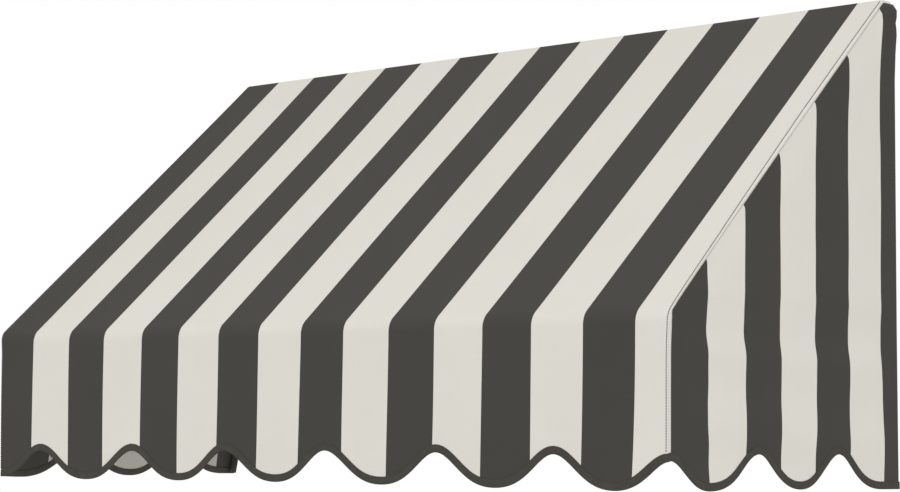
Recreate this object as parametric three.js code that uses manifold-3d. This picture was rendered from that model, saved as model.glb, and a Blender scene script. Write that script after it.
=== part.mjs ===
// Fixed-frame window awning: taut striped cloth over a rigid tube frame,
// sloping canopy with a hanging scalloped front drop and two side panels.
// Units mm, +Z up, wall plane y = 0, awning projects to -Y, x = 0 at mid width.
// Origin: centre of the wall face of the middle head angle.
import * as THREE from 'three';
import { mergeVertices } from 'three/addons/utils/BufferGeometryUtils.js';
import Module from 'manifold-3d';

// ---- driving dimensions -------------------------------------------------
const WIDTH = 1472;            // over the cloth
const PROJECTION = 647;        // wall to the face of the front drop
const APEX_Y = 41;             // wall to the fold at the head
const TOP_Z = 52;              // top of the cloth over the head bar
const RISE = 536;              // eave line to head fold
const DROP = 250;              // eave line to the lowest scallop
const SCALLOP_DEPTH = 50.5;    // notch to trough
const SCALLOP_SKEW = 0.112;    // narrows the notches, widens the lobes
const STEP = 16;               // spacing of points along the scalloped edge
const CLOTH = 1.0;             // cloth thickness
const GAP = 0.3;               // clearance between neighbouring pieces
const LAP = 11;                // canopy edge lapped on to the side panel
const HEM_REAR_Z = 28;         // end of the cloth behind the head bar
const SQ = 25.4;               // square tube of the frame
const SQ_R = 3;                // its corner radius
const SQ_WALL = 1.6;           // its wall
const BAR_R = 25.4;            // round front bar, radius
const BAR_WALL = 1.6;
const ARM_HALF = SQ / 2;
const FOOT_Z = -600;           // lower end of the uprights
const BIND_H = 11.5;           // binding tape, visible height
const BIND_T = 1.0;            // tape thickness
const PLATE = 3;               // gussets, angles, cleat
const SHANK_R = 2.0;           // frame screws
const HOLE_R = 2.45;
const WALL_HOLE_R = 3.25;      // holes for wall screws
const ANGLE_W = 50;            // wall angle, width and leg
const HEAD_ANGLE_X = 560;      // outer head angles from mid width

// ---- derived ------------------------------------------------------------
const HX = WIDTH / 2;
const EAVE_Z = TOP_Z - RISE;
const RUN = PROJECTION - APEX_Y;
const SL = Math.hypot(RUN, RISE);
const SY = RUN / SL, SZ = RISE / SL;          // up the slope
const NY = -SZ, NZ = SY;                      // outward from the slope
const SKIN = CLOTH + GAP;
const EAVE_R = BAR_R + SKIN;                  // cloth bend over the front bar
const HEAD_R = SQ_R + SKIN;
const BAR_Y = -PROJECTION + EAVE_R;
const BAR_Z = EAVE_Z + (-EAVE_R - NY * EAVE_R) / NZ;
const PANEL_X1 = HX - CLOTH - GAP;            // outer face of the side panel
const PANEL_X0 = PANEL_X1 - CLOTH;
const TUBE_X1 = PANEL_X0 - GAP;               // outer face of the end frames
const TUBE_X0 = TUBE_X1 - SQ;
const CAP_T = 3;
const HEAD_Z = TOP_Z - SKIN - SQ / 2;         // head bar centre
const HEAD_FRONT = -41.5;
const HEAD_Y = HEAD_FRONT + SQ / 2;
const HEAD_REAR = HEAD_FRONT + SQ;
const REAR_Y = HEAD_REAR + SKIN;              // rear face of the wrapped cloth
const TROUGH = EAVE_Z - DROP;
const NOTCH = TROUGH + SCALLOP_DEPTH;
const PX0 = TUBE_X0 - GAP - PLATE, PX1 = TUBE_X0 - GAP;   // gusset plane
const slopeZ = (y) => TOP_Z + (y + APEX_Y) * (RISE / RUN);

const wasm = await Module();
wasm.setup();
const { Manifold, Mesh: SolidMesh } = wasm;

// ---- helpers ------------------------------------------------------------
const V2 = (x, y) => new THREE.Vector2(x, y);
function solid(geo) {
  const g = geo.clone();
  for (const k of Object.keys(g.attributes)) if (k !== 'position') g.deleteAttribute(k);
  const m = mergeVertices(g, 1e-4);
  return new Manifold(new SolidMesh({
    numProp: 3,
    vertProperties: new Float32Array(m.attributes.position.array),
    triVerts: new Uint32Array(m.index.array),
  }));
}
function geometry(s) {
  const m = s.getMesh();
  const g = new THREE.BufferGeometry();
  g.setAttribute('position', new THREE.BufferAttribute(new Float32Array(m.vertProperties), 3));
  g.setIndex(new THREE.BufferAttribute(new Uint32Array(m.triVerts), 1));
  const flat = g.toNonIndexed();
  flat.computeVertexNormals();
  return flat;
}
const BASIS = {
  x: new THREE.Matrix4().makeBasis(new THREE.Vector3(0, 1, 0), new THREE.Vector3(0, 0, 1), new THREE.Vector3(1, 0, 0)),
  y: new THREE.Matrix4().makeBasis(new THREE.Vector3(1, 0, 0), new THREE.Vector3(0, 0, 1), new THREE.Vector3(0, -1, 0)),
  z: new THREE.Matrix4(),
};
// outline in (y,z) along x, in (x,z) along y, in (x,y) along z, from a to b
function prismGeo(pts, a, b, axis, holes = []) {
  const sh = new THREE.Shape(pts.map((p) => V2(p[0], p[1])));
  for (const h of holes) sh.holes.push(new THREE.Path(h.map((p) => V2(p[0], p[1]))));
  const g = new THREE.ExtrudeGeometry(sh, { depth: b - a, bevelEnabled: false, steps: 1 });
  g.translate(0, 0, axis === 'y' ? -b : a);
  g.applyMatrix4(BASIS[axis]);
  return g;
}
const prism = (pts, a, b, axis, holes) => solid(prismGeo(pts, a, b, axis, holes));
const rect = (x0, y0, x1, y1) => [[x0, y0], [x1, y0], [x1, y1], [x0, y1]];
const ring = (cx, cy, r, n, turn = 0) => Array.from({ length: n }, (_, i) => {
  const t = turn + (i / n) * Math.PI * 2;
  return [cx + r * Math.cos(t), cy + r * Math.sin(t)];
});
function roundSquare(cx, cy, w, h, r, n = 2) {
  const out = [];
  const cs = [[w / 2 - r, h / 2 - r, 0], [-w / 2 + r, h / 2 - r, 1], [-w / 2 + r, -h / 2 + r, 2], [w / 2 - r, -h / 2 + r, 3]];
  for (const [x, y, q] of cs) {
    for (let i = 0; i <= n; i++) {
      const t = (q + i / n) * Math.PI / 2;
      out.push([cx + x + r * Math.cos(t), cy + y + r * Math.sin(t)]);
    }
  }
  return out;
}
const box = (x0, x1, y0, y1, z0, z1) => prism(rect(x0, y0, x1, y1), z0, z1, 'z');
const tubeSection = (cx, cy) => [
  roundSquare(cx, cy, SQ, SQ, SQ_R),
  [roundSquare(cx, cy, SQ - 2 * SQ_WALL, SQ - 2 * SQ_WALL, SQ_R - SQ_WALL + 0.2)],
];
function drill(s, axis, c, r, a, b, n = 10) { return s.subtract(prism(ring(c[0], c[1], r, n), a, b, axis)); }
const flipX = (s) => s.mirror([1, 0, 0]);

const PAINT = { color: 0x6f7276, roughness: 0.45, metalness: 0.6 };
const LOOK = {
  cloth: { color: 0xb9b5ac, roughness: 0.9, metalness: 0 },
  tape: { color: 0x45433e, roughness: 0.9, metalness: 0 },
  tube: { color: 0xc9cbcc, roughness: 0.4, metalness: 0.8 },
  plate: PAINT,
  strip: { color: 0xb8babb, roughness: 0.45, metalness: 0.8 },
  screw: { color: 0x9a9c9e, roughness: 0.35, metalness: 1 },
  plug: { color: 0x2c2c2c, roughness: 0.6, metalness: 0 },
};
const awning = new THREE.Group();
awning.name = 'window_awning';
function add(name, s, look) {
  const mesh = new THREE.Mesh(geometry(s), new THREE.MeshStandardMaterial(LOOK[look]));
  mesh.name = name;
  awning.add(mesh);
}

// ---- cloth section: front drop, bend, slope, head fold, rear hem ---------
// returns [y, z, ny, nz] along the outer face
function filleted(vs) {
  const out = [];
  for (let i = 0; i < vs.length; i++) {
    const [y, z, r, n] = vs[i];
    if (i === 0 || i === vs.length - 1) {
      const a = vs[i === 0 ? 0 : i - 1], b = vs[i === 0 ? 1 : i];
      const l = Math.hypot(b[0] - a[0], b[1] - a[1]);
      out.push([y, z, -(b[1] - a[1]) / l, (b[0] - a[0]) / l]);
      continue;
    }
    const p = vs[i - 1], q = vs[i + 1];
    const l1 = Math.hypot(y - p[0], z - p[1]), l2 = Math.hypot(q[0] - y, q[1] - z);
    const d1 = [(y - p[0]) / l1, (z - p[1]) / l1], d2 = [(q[0] - y) / l2, (q[1] - z) / l2];
    const turn = Math.acos(d1[0] * d2[0] + d1[1] * d2[1]);
    const t = r * Math.tan(turn / 2);
    const n1 = [-d1[1], d1[0]];
    const c = [y - d1[0] * t - n1[0] * r, z - d1[1] * t - n1[1] * r];
    const a0 = Math.atan2(n1[1], n1[0]);
    for (let k = 0; k <= n; k++) {
      const a = a0 - turn * k / n;
      out.push([c[0] + r * Math.cos(a), c[1] + r * Math.sin(a), Math.cos(a), Math.sin(a)]);
    }
  }
  return out;
}
const FRONT_END = TROUGH - 20;
const skinLine = filleted([
  [-PROJECTION, FRONT_END, 0, 0],
  [-PROJECTION, EAVE_Z, EAVE_R, 12],
  [-APEX_Y, TOP_Z, HEAD_R, 4],
  [REAR_Y, TOP_Z, HEAD_R, 5],
  [REAR_Y, HEM_REAR_Z, 0, 0],
]);
const inset = (d, list = skinLine) => list.map(([y, z, a, b]) => [y - a * d, z - b * d]);

// ---- scalloped lower edge -------------------------------------------------
// turning points along each side, [position, height]
const CORNER_R = NOTCH - 9, CORNER_L = TROUGH;
const FRONT_TURNS = [
  [-HX, CORNER_L], [241 - HX - 122, NOTCH], [241 - HX, TROUGH], [358 - HX, NOTCH], [476 - HX, TROUGH],
  [589 - HX, NOTCH], [700 - HX, TROUGH], [814 - HX, NOTCH], [935 - HX, TROUGH], [1046 - HX, NOTCH],
  [1162 - HX, TROUGH], [1274 - HX, NOTCH], [1385 - HX, TROUGH], [HX, CORNER_R],
];
const RIGHT_TURNS = [
  [-PROJECTION, CORNER_R], [-524, TROUGH], [-411, NOTCH], [-298, TROUGH], [-190, NOTCH], [-62, TROUGH], [0, TROUGH],
];
const LEFT_TURNS = [
  [-PROJECTION, CORNER_L], [-585, TROUGH], [-462, NOTCH], [-340, TROUGH], [-218, NOTCH], [-95, TROUGH], [0, TROUGH],
];
function edgeHeight(turns, s) {
  if (s <= turns[0][0]) return turns[0][1];
  for (let i = 0; i + 1 < turns.length; i++) {
    const [a, za] = turns[i], [b, zb] = turns[i + 1];
    if (s > b) continue;
    const down = zb <= za;                       // from notch to trough
    const u = down ? (s - a) / (b - a) : (b - s) / (b - a);
    const g = u + SCALLOP_SKEW * Math.sin(Math.PI * u);
    const f = 0.5 - 0.5 * Math.cos(Math.PI * g);
    return down ? za + (zb - za) * f : zb + (za - zb) * f;
  }
  return turns[turns.length - 1][1];
}
// points at the turning points and evenly between them, the same for every line
function stations(turns, a, b) {
  const all = [];
  for (let i = 0; i + 1 < turns.length; i++) {
    const [p, q] = [turns[i][0], turns[i + 1][0]];
    const n = Math.max(1, Math.round((q - p) / STEP));
    for (let k = 0; k < n; k++) all.push(p + (q - p) * k / n);
  }
  all.push(turns[turns.length - 1][0]);
  return [a, ...all.filter((s) => s > a + 0.05 && s < b - 0.05), b];
}
function edgeLine(turns, a, b, lift = 0) {
  return stations(turns, a, b).map((s) => {
    const e = 0.5;
    const m = (edgeHeight(turns, s + e) - edgeHeight(turns, s - e)) / (2 * e);
    const l = Math.hypot(1, m);
    return [s - lift * m / l, edgeHeight(turns, s) + lift / l];
  });
}
const FRONT_LOW = -2000;

// ---- canopy cover ---------------------------------------------------------
{
  const outer = inset(0), inner = inset(CLOTH).reverse();
  let cover = prism([...outer, ...inner], -HX, HX, 'x');
  // lapped edges down the slope and the corners, outside the side panels
  const lapLine = filleted([
    [-PROJECTION, FRONT_END, 0, 0],
    [-PROJECTION, EAVE_Z, EAVE_R, 12],
    [-APEX_Y - SY * 4, TOP_Z - SZ * 4, 0, 0],
  ]);
  const lap = [...inset(0.2, lapLine), ...inset(LAP, lapLine).reverse()];
  cover = cover.add(prism(lap, HX - CLOTH, HX, 'x')).add(prism(lap, -HX, -HX + CLOTH, 'x'));
  const edge = edgeLine(FRONT_TURNS, -HX - 6, HX + 6, BIND_T + 3 * GAP);
  cover = cover.subtract(prism([[-HX - 40, FRONT_LOW], [HX + 40, FRONT_LOW], [HX + 40, edge.at(-1)[1]], ...edge.slice().reverse(), [-HX - 40, edge[0][1]]], -PROJECTION - 20, -600, 'y'));
  for (const x of [-640, -215, 215, 640]) cover = drill(cover, 'y', [x, HEAD_Z], HOLE_R, REAR_Y - 6, REAR_Y + 6);
  add('canopy_cover', cover, 'cloth');
}

// ---- side panels ------------------------------------------------------------
const PANEL_FRONT = -PROJECTION + SKIN;
const STRIP_SCREW_Z = [-30, -470];
const STRIP_X = (TUBE_X0 + TUBE_X1) / 2;
function sidePanel(turns) {
  const top = inset(SKIN, skinLine.slice(1, -1)).filter((p) => p[1] > EAVE_Z - 40);
  const low = edgeLine(turns, PANEL_FRONT, REAR_Y, BIND_T + 3 * GAP);
  low[0] = [PANEL_FRONT, low[0][1]];
  low[low.length - 1] = [REAR_Y, low.at(-1)[1]];
  let p = prism([...low, [REAR_Y, HEM_REAR_Z - 2], [HEAD_REAR, HEM_REAR_Z - 2], ...top.slice().reverse()], PANEL_X0, PANEL_X1, 'x');
  p = p.add(box(PANEL_X1 - 22, PANEL_X1, REAR_Y - CLOTH, REAR_Y, FOOT_Z + 30, HEM_REAR_Z - 8));
  for (const z of STRIP_SCREW_Z) p = drill(p, 'y', [STRIP_X, z], HOLE_R, REAR_Y - 6, REAR_Y + 6);
  return p;
}
add('side_panel_right', sidePanel(RIGHT_TURNS), 'cloth');
add('side_panel_left', flipX(sidePanel(LEFT_TURNS)), 'cloth');

// ---- binding tape: one folded tape round the scalloped edge -----------------
function band(turns, a, b, lift0, lift1) {
  const lo = edgeLine(turns, a, b, lift0), hi = edgeLine(turns, a, b, lift1);
  lo[0][0] = a; hi[0][0] = a; lo[lo.length - 1][0] = b; hi[hi.length - 1][0] = b;
  return [...lo, ...hi.reverse()];
}
{
  const F0 = -PROJECTION - GAP - BIND_T, F1 = -PROJECTION + CLOTH + GAP + BIND_T;
  const XO = HX + GAP + BIND_T, XM = PANEL_X1 + GAP + BIND_T, XI = PANEL_X0 - GAP - BIND_T;
  const LAP_Y = -PROJECTION + LAP + GAP + BIND_T;
  const side = (turns) => prism(band(turns, LAP_Y - 2, REAR_Y, 0, BIND_H), XI, XM, 'x')
    .add(prism(band(turns, F0, LAP_Y, 0, BIND_H), XI, XO, 'x'));
  const slot = (turns) => prism(band(turns, LAP_Y - 3, REAR_Y + 8, BIND_T, BIND_H + 6), PANEL_X0 - GAP, PANEL_X1 + GAP, 'x')
    .add(prism(band(turns, -PROJECTION - GAP, LAP_Y - BIND_T, BIND_T, BIND_H + 6), PANEL_X0 - GAP, HX + GAP, 'x'));
  let t = prism(band(FRONT_TURNS, -XO, XO, 0, BIND_H), F0, F1, 'y');
  t = t.add(side(RIGHT_TURNS)).add(flipX(side(LEFT_TURNS)));
  t = t.subtract(prism(band(FRONT_TURNS, -HX - GAP, HX + GAP, BIND_T, BIND_H + 6), F0 + BIND_T, F1 - BIND_T, 'y'));
  t = t.subtract(slot(RIGHT_TURNS)).subtract(flipX(slot(LEFT_TURNS)));
  add('scallop_binding', t, 'tape');
}

// ---- frame tubes --------------------------------------------------------------
const HEAD_SCREW_X = [-640, -215, 215, 640];
const GUSSET_FLANGE_X = PX1 - 16;
{
  const [o, h] = tubeSection(HEAD_Y, HEAD_Z);
  let s = prism(o, -TUBE_X1 + CAP_T + GAP, TUBE_X1 - CAP_T - GAP, 'x', h);
  for (const x of HEAD_SCREW_X) s = drill(s, 'y', [x, HEAD_Z], HOLE_R, HEAD_REAR - 5, HEAD_REAR + 5);
  for (const x of [-HEAD_ANGLE_X, 0, HEAD_ANGLE_X, GUSSET_FLANGE_X, -GUSSET_FLANGE_X]) s = drill(s, 'z', [x, HEAD_Y], HOLE_R, HEAD_Z - SQ / 2 - 5, HEAD_Z - SQ / 2 + 5);
  s = drill(s, 'y', [30, HEAD_Z], HOLE_R, HEAD_FRONT - 5, HEAD_FRONT + 5);
  add('head_bar', s, 'tube');
}
add('front_bar', prism(ring(BAR_Y, BAR_Z, BAR_R, 40), -TUBE_X1 + CAP_T + GAP, TUBE_X1 - CAP_T - GAP, 'x', [ring(BAR_Y, BAR_Z, BAR_R - BAR_WALL, 40)]), 'tube');

const LOW_ANGLE_Z = FOOT_Z + 35;
const GT = { up: [HEAD_Y, -40], raf: [-95, slopeZ(-95) - 14 / NZ] };
const GL = { up: [HEAD_Y, BAR_Z + 68], arm: [-100, BAR_Z] };
{
  const [o, h] = tubeSection((TUBE_X0 + TUBE_X1) / 2, HEAD_Y);
  let s = prism(o, FOOT_Z + CAP_T + GAP, HEAD_Z - SQ / 2 - GAP, 'z', h);
  for (const c of [GT.up, GL.up, [HEAD_Y, LOW_ANGLE_Z]]) s = drill(s, 'x', c, HOLE_R, TUBE_X0 - 5, TUBE_X0 + 5);
  for (const z of STRIP_SCREW_Z) s = drill(s, 'y', [STRIP_X, z], HOLE_R, HEAD_REAR - 5, HEAD_REAR + 5);
  add('upright_right', s, 'tube');
  add('upright_left', flipX(s), 'tube');
}
const cope = prism(ring(BAR_Y, BAR_Z, (BAR_R + GAP) / Math.cos(Math.PI / 40), 40), -HX, HX, 'x');
function rafter(x) {
  const [o, h] = tubeSection(0, 0);
  const g = prismGeo(o, 0, SL + 60, 'z', h);
  const m = new THREE.Matrix4().makeBasis(new THREE.Vector3(1, 0, 0), new THREE.Vector3(0, NY, NZ), new THREE.Vector3(0, SY, SZ));
  // makeBasis(x, n, s) is left-handed here, so turn the section over
  if (m.determinant() < 0) m.makeBasis(new THREE.Vector3(-1, 0, 0), new THREE.Vector3(0, NY, NZ), new THREE.Vector3(0, SY, SZ));
  const off = BAR_R - SQ / 2;                       // from the bar centre out to the rafter axis
  m.setPosition(x, BAR_Y + NY * off, BAR_Z + NZ * off);
  g.applyMatrix4(m);
  return solid(g).subtract(cope).subtract(box(-HX, HX, HEAD_FRONT - GAP, 200, -200, 300));
}
{
  const s = drill(rafter((TUBE_X0 + TUBE_X1) / 2), 'x', GT.raf, HOLE_R, TUBE_X0 - 5, TUBE_X0 + 5);
  add('rafter_right', s, 'tube');
  add('rafter_left', flipX(s), 'tube');
  add('rafter_center', drill(rafter(0), 'x', [-70, 4], HOLE_R, SQ / 2 - 5, SQ / 2 + 5), 'tube');
}
{
  const [o, h] = tubeSection((TUBE_X0 + TUBE_X1) / 2, BAR_Z);
  let s = prism(o, BAR_Y, HEAD_FRONT - GAP, 'y', h).subtract(cope);
  s = drill(s, 'x', GL.arm, HOLE_R, TUBE_X0 - 5, TUBE_X0 + 5);
  add('side_arm_right', s, 'tube');
  add('side_arm_left', flipX(s), 'tube');
}

// ---- gussets, cleat ------------------------------------------------------------
{
  let top = prism([[-18, 22], [-18, -62], [-38, -70], [-112, -46], [-112, -16], [-62, 22]], PX0, PX1, 'x');
  top = top.add(box(PX1 - 28, PX1, -40, -18, HEAD_Z - SQ / 2 - GAP - PLATE, HEAD_Z - SQ / 2 - GAP));
  for (const c of [GT.up, GT.raf]) top = drill(top, 'x', c, HOLE_R, PX0 - 5, PX1 + 5);
  top = drill(top, 'z', [GUSSET_FLANGE_X, HEAD_Y], HOLE_R, 0, 40);
  add('gusset_top_right', top, 'plate');
  add('gusset_top_left', flipX(top), 'plate');
  let low = prism([[-18, BAR_Z - 9], [-18, BAR_Z + 90], [-36, BAR_Z + 90], [-124, BAR_Z + 9], [-124, BAR_Z - 9]], PX0, PX1, 'x');
  for (const c of [GL.up, GL.arm]) low = drill(low, 'x', c, HOLE_R, PX0 - 5, PX1 + 5);
  add('gusset_low_right', low, 'plate');
  add('gusset_low_left', flipX(low), 'plate');
  const cx0 = SQ / 2 + GAP, cy1 = HEAD_FRONT - GAP;
  let cleat = prism([[cy1, 28], [cy1, 44], [-48, 41], [-86, 6], [-86, -12], [-50, 20]], cx0, cx0 + PLATE, 'x');
  cleat = cleat.add(prism(rect(cx0, 28, cx0 + 30, 44), cy1 - PLATE, cy1, 'y'));
  cleat = drill(cleat, 'x', [-70, 4], HOLE_R, cx0 - 2, cx0 + PLATE + 2);
  cleat = drill(cleat, 'y', [30, HEAD_Z], HOLE_R, cy1 - PLATE - 2, cy1 + 2);
  add('cleat_center', cleat, 'plate');
}

// ---- wall angles ------------------------------------------------------------------
function angleProfile(l1, l2, t, r) {              // legs along -u and -v from the heel at 0,0
  const out = [[-l1, 0]];
  for (let i = 0; i <= 4; i++) { const a = Math.PI / 2 * (1 - i / 4); out.push([-r + r * Math.cos(a), -r + r * Math.sin(a)]); }
  out.push([0, -l2], [-t, -l2], [-t, -t], [-l1, -t]);
  return out;
}
{
  const zTop = HEAD_Z - SQ / 2 - GAP;
  let a = prism(angleProfile(40, zTop + ANGLE_W / 2, PLATE, 4).map(([u, v]) => [u, v + zTop]), -ANGLE_W / 2, ANGLE_W / 2, 'x');
  for (const z of [-14, 11]) a = drill(a, 'y', [0, z], WALL_HOLE_R, -6, 3, 16);
  a = drill(a, 'z', [0, HEAD_Y], HOLE_R, 0, 40);
  add('wall_angle_head_center', a, 'plate');
  add('wall_angle_head_right', a.translate([HEAD_ANGLE_X, 0, 0]), 'plate');
  add('wall_angle_head_left', a.translate([-HEAD_ANGLE_X, 0, 0]), 'plate');
  let w = prism(angleProfile(ANGLE_W, 40, PLATE, 4).map(([u, v]) => [u + PX1, v]), LOW_ANGLE_Z - ANGLE_W / 2, LOW_ANGLE_Z + ANGLE_W / 2, 'z');
  for (const z of [-13, 13]) w = drill(w, 'y', [PX1 - 30, LOW_ANGLE_Z + z], WALL_HOLE_R, -6, 3, 16);
  w = drill(w, 'x', [HEAD_Y, LOW_ANGLE_Z], HOLE_R, PX0 - 5, PX1 + 5);
  add('wall_angle_low_right', w, 'plate');
  add('wall_angle_low_left', flipX(w), 'plate');
}

// ---- strips that clamp the cloth behind the tubes ------------------------------------
const STRIP_Y0 = REAR_Y + GAP, STRIP_Y1 = STRIP_Y0 + 2;
{
  let s = prism(rect(-690, HEAD_Z - 7, 690, HEAD_Z + 7), STRIP_Y0, STRIP_Y1, 'y');
  for (const x of HEAD_SCREW_X) s = drill(s, 'y', [x, HEAD_Z], HOLE_R, STRIP_Y0 - 2, STRIP_Y1 + 2);
  add('clamp_strip_head', s, 'strip');
  let u = prism(rect(STRIP_X - 7, FOOT_Z + 45, STRIP_X + 7, 5), STRIP_Y0, STRIP_Y1, 'y');
  for (const z of STRIP_SCREW_Z) u = drill(u, 'y', [STRIP_X, z], HOLE_R, STRIP_Y0 - 2, STRIP_Y1 + 2);
  add('clamp_strip_right', u, 'strip');
  add('clamp_strip_left', flipX(u), 'strip');
}

// ---- plugs in the open tube ends ---------------------------------------------------------
{
  const fit = SQ - 2 * SQ_WALL - 2 * GAP;
  const c = prism(roundSquare(HEAD_Y, HEAD_Z, SQ, SQ, SQ_R), TUBE_X1 - CAP_T, TUBE_X1, 'x')
    .add(prism(roundSquare(HEAD_Y, HEAD_Z, fit, fit, 2), TUBE_X1 - 15, TUBE_X1 - CAP_T + 1, 'x'));
  add('head_plug_right', c, 'plug');
  add('head_plug_left', flipX(c), 'plug');
  const xc = (TUBE_X0 + TUBE_X1) / 2;
  const f = prism(roundSquare(xc, HEAD_Y, SQ, SQ, SQ_R), FOOT_Z, FOOT_Z + CAP_T, 'z')
    .add(prism(roundSquare(xc, HEAD_Y, fit, fit, 2), FOOT_Z + CAP_T - 1, FOOT_Z + 15, 'z'));
  add('foot_plug_right', f, 'plug');
  add('foot_plug_left', flipX(f), 'plug');
  const b = prism(ring(BAR_Y, BAR_Z, BAR_R, 32), TUBE_X1 - CAP_T, TUBE_X1, 'x')
    .add(prism(ring(BAR_Y, BAR_Z, BAR_R - BAR_WALL - 2 * GAP, 24), TUBE_X1 - 15, TUBE_X1 - CAP_T + 1, 'x'));
  add('front_plug_right', b, 'plug');
  add('front_plug_left', flipX(b), 'plug');
}

// ---- screws: hex washer head, shank into the tube wall --------------------------------------
function screw(grip) {
  return prism(ring(0, 0, SHANK_R, 8), -grip - 6, 0.6, 'z')
    .add(prism(ring(0, 0, 5.2, 12), 0, 1.2, 'z'))
    .add(prism(ring(0, 0, 4.05, 6), 0.6, 4.6, 'z'));
}
function place(s, p, dir) {                        // dir: the way it is driven
  const q = new THREE.Quaternion().setFromUnitVectors(new THREE.Vector3(0, 0, -1), new THREE.Vector3(...dir));
  const m = new THREE.Matrix4().makeRotationFromQuaternion(q).setPosition(...p);
  return s.transform(m.elements.slice());
}
const PIN = screw(PLATE + GAP * 2), THIN = screw(2 + CLOTH + GAP * 3);
const both = (name, s) => { add(`${name}_right`, s, 'screw'); add(`${name}_left`, flipX(s), 'screw'); };
both('screw_gusset_top_upright', place(PIN, [PX0 - GAP, ...GT.up], [1, 0, 0]));
both('screw_gusset_top_rafter', place(PIN, [PX0 - GAP, ...GT.raf], [1, 0, 0]));
both('screw_gusset_top_head', place(PIN, [GUSSET_FLANGE_X, HEAD_Y, HEAD_Z - SQ / 2 - 2 * GAP - PLATE], [0, 0, 1]));
both('screw_gusset_low_upright', place(PIN, [PX0 - GAP, ...GL.up], [1, 0, 0]));
both('screw_gusset_low_arm', place(PIN, [PX0 - GAP, ...GL.arm], [1, 0, 0]));
both('screw_angle_low', place(PIN, [PX0 - GAP, HEAD_Y, LOW_ANGLE_Z], [1, 0, 0]));
for (const [n, x] of [['left', -HEAD_ANGLE_X], ['center', 0], ['right', HEAD_ANGLE_X]]) {
  add(`screw_angle_head_${n}`, place(PIN, [x, HEAD_Y, HEAD_Z - SQ / 2 - 2 * GAP - PLATE], [0, 0, 1]), 'screw');
}
add('screw_cleat_rafter', place(PIN, [SQ / 2 + 2 * GAP + PLATE, -70, 4], [-1, 0, 0]), 'screw');
add('screw_cleat_head', place(PIN, [30, HEAD_FRONT - 2 * GAP - PLATE, HEAD_Z], [0, 1, 0]), 'screw');
HEAD_SCREW_X.forEach((x, i) => add(`screw_strip_head_${i + 1}`, place(THIN, [x, STRIP_Y1 + GAP, HEAD_Z], [0, -1, 0]), 'screw'));
STRIP_SCREW_Z.forEach((z, i) => both(`screw_strip_side_${i + 1}`, place(THIN, [STRIP_X, STRIP_Y1 + GAP, z], [0, -1, 0])));

export default awning;
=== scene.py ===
import math
import bpy
import numpy as np
from mathutils import Matrix, Vector


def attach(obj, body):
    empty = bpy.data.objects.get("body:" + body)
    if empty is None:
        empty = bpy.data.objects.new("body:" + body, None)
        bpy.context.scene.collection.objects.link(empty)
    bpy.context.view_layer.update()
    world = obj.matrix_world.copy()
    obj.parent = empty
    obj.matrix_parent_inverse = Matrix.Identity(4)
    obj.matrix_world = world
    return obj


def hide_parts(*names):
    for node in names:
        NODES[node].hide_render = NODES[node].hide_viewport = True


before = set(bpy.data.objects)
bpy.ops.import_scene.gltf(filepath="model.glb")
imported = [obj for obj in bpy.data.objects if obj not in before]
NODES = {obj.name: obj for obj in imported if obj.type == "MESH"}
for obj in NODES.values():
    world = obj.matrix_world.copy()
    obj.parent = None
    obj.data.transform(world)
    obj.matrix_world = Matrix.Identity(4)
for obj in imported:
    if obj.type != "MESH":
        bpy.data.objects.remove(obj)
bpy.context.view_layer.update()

MM = 0.001

# ---- dimensions shared with the CAD source, mm --------------------------------
WIDTH, PROJ, APEX_Y, TOP_Z, RISE, DROP = 1472.0, 647.0, 41.0, 52.0, 536.0, 250.0
HX = WIDTH / 2
EAVE_Z = TOP_Z - RISE
TROUGH = EAVE_Z - DROP
NOTCH = TROUGH + 50.5
SKEW = 0.112
EAVE_R = 30.0                      # soft bend of the canvas over the front bar
HEAD_R = 4.6
REAR_Y = -14.8
HEM_Z = 28.0
LAP = 11.0
T = 0.75                           # canvas thickness
PANEL_X = 734.9                    # outer face of the side panels
ARM_Z = -496.0
RUN = PROJ - APEX_Y
SL = math.hypot(RUN, RISE)
SY, SZ = RUN / SL, RISE / SL
NY, NZ = -SZ, SY

FRONT_TURNS = [(-HX, TROUGH), (117.5 - HX, TROUGH + 47), (240.2 - HX, TROUGH - 1.6), (363.4 - HX, TROUGH + 48.4),
               (478.0 - HX, TROUGH), (586.8 - HX, TROUGH + 50.2), (710.1 - HX, TROUGH + 1.1), (818.4 - HX, TROUGH + 52.1),
               (941.2 - HX, TROUGH + 0.6), (1052.1 - HX, TROUGH + 51), (1170.0 - HX, TROUGH - 0.4), (1277.8 - HX, TROUGH + 50),
               (1392.3 - HX, TROUGH - 0.9), (1485.2 - HX, TROUGH + 40.8)]
CORNER_Z = TROUGH + 40.2           # lower edge at the right front corner
RIGHT_TURNS = [(-PROJ, CORNER_Z), (-634.2, TROUGH + 42), (-541.2, TROUGH - 0.8), (-408.0, TROUGH + 52.4), (-296.5, TROUGH + 0.2),
               (-189.6, TROUGH + 53.4), (-58, TROUGH - 1.0), (0, TROUGH - 1.2)]
FLARE = {1: 7.5, -1: 3.5}           # the cover stands out a little towards the eave, more on the right
LAP_SLOPE = 6.0                    # the sewn lap is narrower up the slope than down the corner


def smooth(t):
    t = np.clip(t, 0, 1)
    return t * t * (3 - 2 * t)


def flare(y, side):
    return FLARE[side] * np.clip((-np.asarray(y, float) - APEX_Y) / (PROJ - APEX_Y), 0, 1) ** 2.2


LEFT_TURNS = [(-PROJ, TROUGH), (-585, TROUGH - 1.2), (-447, NOTCH), (-312, TROUGH + 0.6), (-195, NOTCH), (-55, TROUGH + 3.8), (0, TROUGH + 3.6)]


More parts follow.
